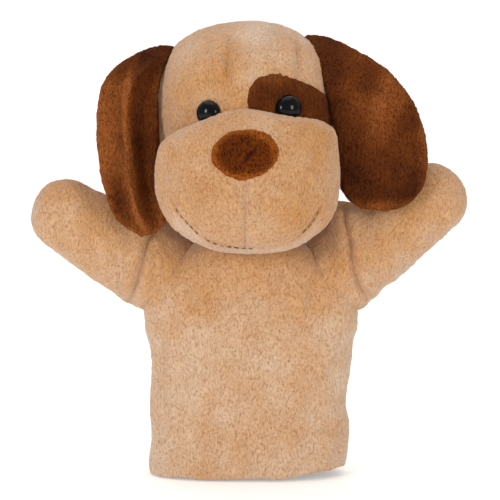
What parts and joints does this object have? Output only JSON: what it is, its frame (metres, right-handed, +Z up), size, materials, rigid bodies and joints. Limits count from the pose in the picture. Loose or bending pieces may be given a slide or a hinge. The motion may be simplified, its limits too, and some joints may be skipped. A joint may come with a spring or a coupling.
{
  "type": "hand puppet",
  "caption": "Plush dog glove puppet with a stuffed head on a finger pocket, floppy ears and two sleeves for thumb and finger.",
  "frame": {"origin": "In the plane of the glove's hem, under the middle of the puppet's width and depth", "axes": "+Z up from the hem to the crown, the face looks along -Y, +X is the puppet's own left"},
  "size_m": [0.226, 0.1138, 0.24],
  "materials": {
    "tan_plush": "matte",
    "ear_brown": "matte",
    "nose_brown": "matte",
    "fibre_fill": "matte",
    "lining": "matte",
    "woven_label": "satin",
    "thread": "matte",
    "eye_black": "gloss",
    "washer": "matte"
  },
  "bodies": {
    "glove": {"glove_front": "tan_plush", "glove_back": "tan_plush", "hem_facing": "tan_plush", "care_label": "woven_label"},
    "neck": {"neck_band": "tan_plush"},
    "head": {"face_panel": "tan_plush", "head_back_left": "tan_plush", "head_back_right": "tan_plush", "muzzle_left": "tan_plush", "muzzle_right": "tan_plush", "chin_panel": "tan_plush", "throat_panel": "tan_plush", "head_stuffing": "fibre_fill", "muzzle_stuffing": "fibre_fill", "finger_pocket": "lining", "nose_patch": "nose_brown", "nose_padding": "fibre_fill", "eye_patch": "ear_brown", "mouth_stitches": "thread", "left_eye": "eye_black", "right_eye": "eye_black", "left_eye_washer": "washer", "right_eye_washer": "washer"},
    "left_ear": {"left_ear_front": "ear_brown", "left_ear_back": "ear_brown"},
    "right_ear": {"right_ear_front": "ear_brown", "right_ear_back": "ear_brown"},
    "left_shoulder": {"left_armhole_band": "tan_plush"},
    "right_shoulder": {"right_armhole_band": "tan_plush"},
    "left_arm": {"left_sleeve_front": "tan_plush", "left_sleeve_back": "tan_plush", "left_paw_stuffing": "fibre_fill"},
    "right_arm": {"right_sleeve_front": "tan_plush", "right_sleeve_back": "tan_plush", "right_paw_stuffing": "fibre_fill"}
  },
  "joints": [
    {"name": "head_turn", "type": "hinge", "parent": "glove", "child": "neck", "pos_m": [0, 0.0108, 0.138], "axis": [0, 0, 1], "range_deg": [-15, 15], "deforming": ["left_ear_front", "left_ear_back", "right_ear_front", "right_ear_back"]},
    {"name": "head_nod", "type": "hinge", "parent": "neck", "child": "head", "pos_m": [0, 0.0108, 0.138], "axis": [-1, 0, 0], "range_deg": [-10, 20]},
    {"name": "left_ear_lift", "type": "hinge", "parent": "head", "child": "left_ear", "pos_m": [0.038, 0.0085, 0.222], "axis": [0, -1, 0], "range_deg": [0, 50]},
    {"name": "right_ear_lift", "type": "hinge", "parent": "head", "child": "right_ear", "pos_m": [-0.043, 0.0085, 0.215], "axis": [0, 1, 0], "range_deg": [0, 50]},
    {"name": "left_arm_lift", "type": "hinge", "parent": "glove", "child": "left_shoulder", "pos_m": [0.05, 0.0108, 0.1105], "axis": [0, -1, 0], "range_deg": [-50, 18]},
    {"name": "left_arm_close", "type": "hinge", "parent": "left_shoulder", "child": "left_arm", "pos_m": [0.05, 0.0108, 0.1105], "axis": [0.5948, 0, -0.8039], "range_deg": [-12, 55]},
    {"name": "right_arm_lift", "type": "hinge", "parent": "glove", "child": "right_shoulder", "pos_m": [-0.05, 0.0108, 0.1105], "axis": [0, 1, 0], "range_deg": [-50, 18]},
    {"name": "right_arm_close", "type": "hinge", "parent": "right_shoulder", "child": "right_arm", "pos_m": [-0.05, 0.0108, 0.1105], "axis": [0.5948, 0, 0.8039], "range_deg": [-12, 55]}
  ]
}
